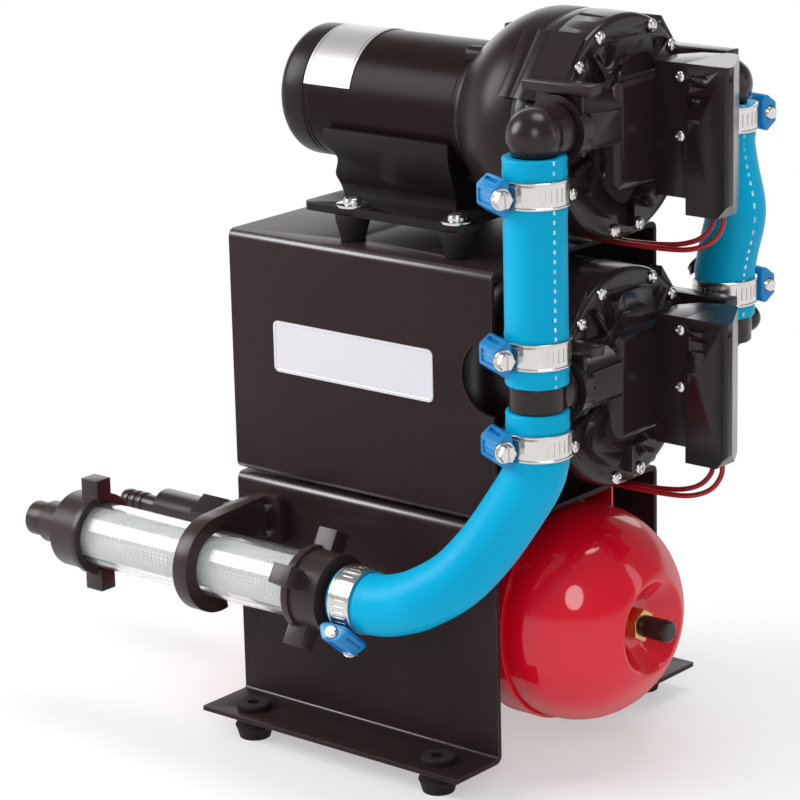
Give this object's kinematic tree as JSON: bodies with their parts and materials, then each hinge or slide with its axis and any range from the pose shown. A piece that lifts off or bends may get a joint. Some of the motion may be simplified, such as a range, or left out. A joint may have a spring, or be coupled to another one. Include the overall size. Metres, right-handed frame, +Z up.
{
  "type": "water pressure pump",
  "caption": "Stacked diaphragm-pump water pressure set on folded sheet frames, with an accumulator tank below, an inline strainer, hoses, clamps and slide-clip ports.",
  "frame": {"origin": "on the floor under the set, midway between the four feet", "axes": "+X runs along the motors towards the pump heads and pressure switches, -Y is the front with the strainer and rating plate, +Z is up"},
  "size_m": [0.4001, 0.2428, 0.3788],
  "materials": {
    "frame_paint": "satin dark brown powder coat",
    "foot_rubber": "matt",
    "plate": "bare printed plate without print",
    "motor_paint": "gloss black",
    "cast_black": "black coated casting",
    "label": "bare label film",
    "base_plastic": "satin moulded",
    "pump_plastic": "semi-gloss moulded",
    "inner_plastic": "moulded, natural",
    "valve_plastic": "moulded",
    "winding": "steel stack with copper windings",
    "steel": "ground",
    "screw_steel": "stainless",
    "magnet": "ferrite",
    "membrane": "matt",
    "wire": "insulated wire",
    "hose": "flexible hose",
    "clamp_blue": "blue coated",
    "tank_paint": "gloss red",
    "brass": "turned",
    "clear": "clear moulded"
  },
  "bodies": {
    "pump_set": {"lower_frame": "frame_paint", "upper_frame": "frame_paint", "rubber_feet": "foot_rubber", "rubber_mounts": "foot_rubber", "rating_plate": "plate", "upper_motor_can": "motor_paint", "lower_motor_can": "motor_paint", "motor_end_bells": "cast_black", "upper_drive_housing": "cast_black", "lower_drive_housing": "cast_black", "motor_labels": "label", "upper_base": "base_plastic", "lower_base": "base_plastic", "strainer_bracket": "base_plastic", "upper_head": "pump_plastic", "lower_head": "pump_plastic", "upper_switch_body": "pump_plastic", "lower_switch_body": "pump_plastic", "switch_covers": "pump_plastic", "front_elbow": "pump_plastic", "rear_elbow": "pump_plastic", "front_tee": "pump_plastic", "rear_tee": "pump_plastic", "outlet_cap": "pump_plastic", "tank_fitting": "pump_plastic", "wobble_plates": "inner_plastic", "valve_plates": "valve_plastic", "motor_brushes": "valve_plastic", "motor_bearings": "steel", "strainer_screen": "steel", "tank_straps": "steel", "mount_screws": "screw_steel", "cover_screws": "screw_steel", "clamp_screws": "screw_steel", "clamp_bands": "screw_steel", "motor_magnets": "magnet", "diaphragms": "membrane", "tank_bladder": "membrane", "strainer_seals": "membrane", "switch_wires": "wire", "suction_hose": "hose", "suction_link_hose": "hose", "discharge_link_hose": "hose", "clamp_housings": "clamp_blue", "tank_shell": "tank_paint", "air_valve": "brass", "strainer_tube": "clear"},
    "upper_rotor": {"upper_armature": "winding", "upper_cam": "steel"},
    "lower_rotor": {"lower_armature": "winding", "lower_cam": "steel"},
    "upper_plunger": {"upper_switch_plunger": "inner_plastic"},
    "lower_plunger": {"lower_switch_plunger": "inner_plastic"},
    "upper_front_slide_clip": {"upper_front_clip": "pump_plastic"},
    "upper_rear_slide_clip": {"upper_rear_clip": "pump_plastic"},
    "lower_front_slide_clip": {"lower_front_clip": "pump_plastic"},
    "lower_rear_slide_clip": {"lower_rear_clip": "pump_plastic"},
    "strainer_inlet_cap": {"inlet_cap": "pump_plastic"},
    "valve_cap": {"air_valve_cap": "pump_plastic"},
    "valve_pin": {"air_valve_pin": "brass"}
  },
  "joints": [
    {"name": "upper_rotor_spin", "type": "hinge", "parent": "pump_set", "child": "upper_rotor", "pos_m": [0, 0, 0.3243], "axis": [1, 0, 0], "continuous": true},
    {"name": "upper_plunger_press", "type": "slide", "parent": "pump_set", "child": "upper_plunger", "axis": [1, 0, 0], "range_m": [0, 0.0015], "stiffness_N_per_m": 600, "springref_m": -0.001},
    {"name": "upper_front_clip_lift", "type": "slide", "parent": "pump_set", "child": "upper_front_slide_clip", "axis": [0, 0, 1], "range_m": [0, 0.01]},
    {"name": "upper_rear_clip_lift", "type": "slide", "parent": "pump_set", "child": "upper_rear_slide_clip", "axis": [0, 0, 1], "range_m": [0, 0.01]},
    {"name": "lower_rotor_spin", "type": "hinge", "parent": "pump_set", "child": "lower_rotor", "pos_m": [0, 0, 0.2008], "axis": [1, 0, 0], "continuous": true},
    {"name": "lower_plunger_press", "type": "slide", "parent": "pump_set", "child": "lower_plunger", "axis": [1, 0, 0], "range_m": [0, 0.0015], "stiffness_N_per_m": 600, "springref_m": -0.001},
    {"name": "lower_front_clip_lift", "type": "slide", "parent": "pump_set", "child": "lower_front_slide_clip", "axis": [0, 0, 1], "range_m": [0, 0.01]},
    {"name": "lower_rear_clip_lift", "type": "slide", "parent": "pump_set", "child": "lower_rear_slide_clip", "axis": [0, 0, 1], "range_m": [0, 0.01]},
    {"name": "inlet_cap_twist", "type": "hinge", "parent": "pump_set", "child": "strainer_inlet_cap", "pos_m": [-0.1525, -0.108, 0.0995], "axis": [1, 0, 0], "range_deg": [0, 40]},
    {"name": "valve_cap_turn", "type": "hinge", "parent": "pump_set", "child": "valve_cap", "pos_m": [0.13, 0, 0.074], "axis": [1, 0, 0], "continuous": true},
    {"name": "valve_pin_press", "type": "slide", "parent": "pump_set", "child": "valve_pin", "axis": [-1, 0, 0], "range_m": [0, 0.0015], "stiffness_N_per_m": 300, "springref_m": -0.001}
  ]
}
